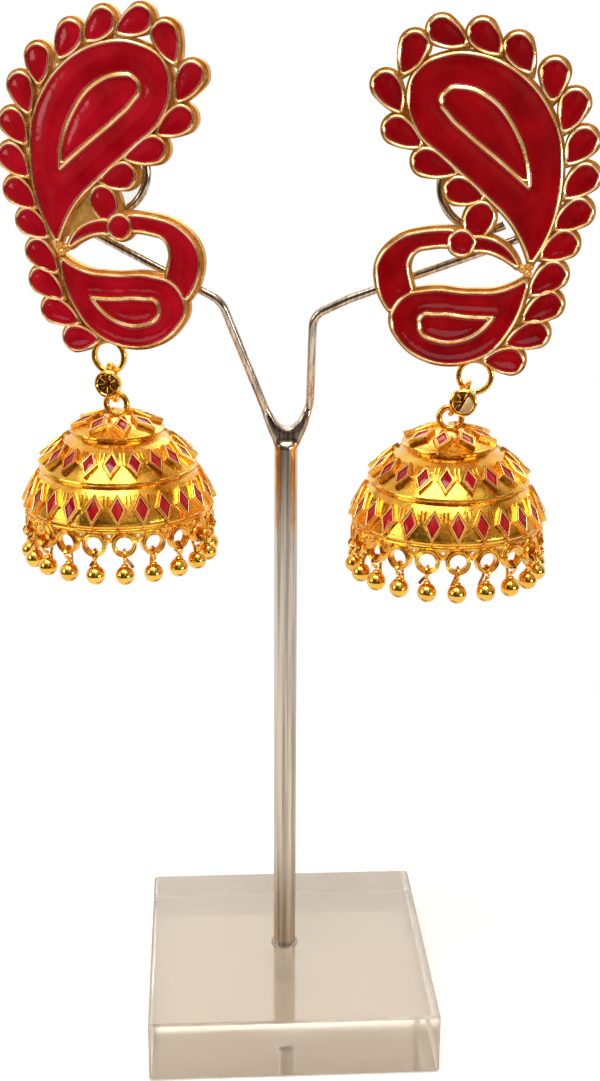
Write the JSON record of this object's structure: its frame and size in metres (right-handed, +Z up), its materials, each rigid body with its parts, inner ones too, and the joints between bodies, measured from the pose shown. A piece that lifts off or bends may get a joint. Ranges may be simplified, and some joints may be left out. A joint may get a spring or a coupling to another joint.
{
  "type": "pair of jhumka earrings on a display stand",
  "caption": "Peacock-shaped gilt earrings with red enamel cells, each carrying a domed bell with small ball drops, hung on a bent-wire stand with a square clear block base.",
  "frame": {"origin": "centre of the square base block's underside", "axes": "+Z up along the post, -Y toward the viewer, +X to the right across the two earrings"},
  "size_m": [0.0933, 0.051, 0.1761],
  "materials": {
    "gilt": "polished gold plate",
    "enamel": "glossy translucent red enamel",
    "steel": "polished steel wire",
    "base": "polished clear acrylic",
    "clear_plastic": "clear moulded plastic"
  },
  "bodies": {
    "stand": {"stand_base": "base", "stand_post": "steel", "left_arm": "steel", "right_arm": "steel", "left_plate": "gilt", "left_plate_enamel": "enamel", "left_comfort_disc": "clear_plastic", "left_clutch": "gilt", "right_plate": "gilt", "right_plate_enamel": "enamel", "right_comfort_disc": "clear_plastic", "right_clutch": "gilt"},
    "left_link": {"left_link": "gilt"},
    "left_bell": {"left_bell": "gilt", "left_bell_enamel": "enamel", "left_drop_01": "gilt", "left_drop_02": "gilt", "left_drop_03": "gilt", "left_drop_04": "gilt", "left_drop_05": "gilt", "left_drop_06": "gilt", "left_drop_07": "gilt", "left_drop_08": "gilt", "left_drop_09": "gilt", "left_drop_10": "gilt", "left_drop_11": "gilt", "left_drop_12": "gilt", "left_drop_13": "gilt", "left_drop_14": "gilt", "left_drop_15": "gilt", "left_drop_16": "gilt", "left_drop_17": "gilt", "left_drop_18": "gilt", "left_drop_19": "gilt", "left_drop_20": "gilt"},
    "right_link": {"right_link": "gilt"},
    "right_bell": {"right_bell": "gilt", "right_bell_enamel": "enamel", "right_drop_01": "gilt", "right_drop_02": "gilt", "right_drop_03": "gilt", "right_drop_04": "gilt", "right_drop_05": "gilt", "right_drop_06": "gilt", "right_drop_07": "gilt", "right_drop_08": "gilt", "right_drop_09": "gilt", "right_drop_10": "gilt", "right_drop_11": "gilt", "right_drop_12": "gilt", "right_drop_13": "gilt", "right_drop_14": "gilt", "right_drop_15": "gilt", "right_drop_16": "gilt", "right_drop_17": "gilt", "right_drop_18": "gilt", "right_drop_19": "gilt", "right_drop_20": "gilt"}
  },
  "joints": [
    {"name": "left_link_swing", "type": "hinge", "parent": "stand", "child": "left_link", "pos_m": [-0.02912, 0.00051, 0.11844], "axis": [0.9339, -0.3216, 0.1564], "range_deg": [-35, 35]},
    {"name": "left_bell_swing", "type": "hinge", "parent": "left_link", "child": "left_bell", "pos_m": [-0.02841, 0.00027, 0.11375], "axis": [-0.3256, -0.9455, 0], "range_deg": [-25, 25]},
    {"name": "right_link_swing", "type": "hinge", "parent": "stand", "child": "right_link", "pos_m": [0.02752, -0.00991, 0.1176], "axis": [0.8596, -0.1827, -0.4772], "range_deg": [-35, 35]},
    {"name": "right_bell_swing", "type": "hinge", "parent": "right_link", "child": "right_bell", "pos_m": [0.0253, -0.00944, 0.11343], "axis": [-0.2079, -0.9781, 0], "range_deg": [-25, 25]}
  ]
}
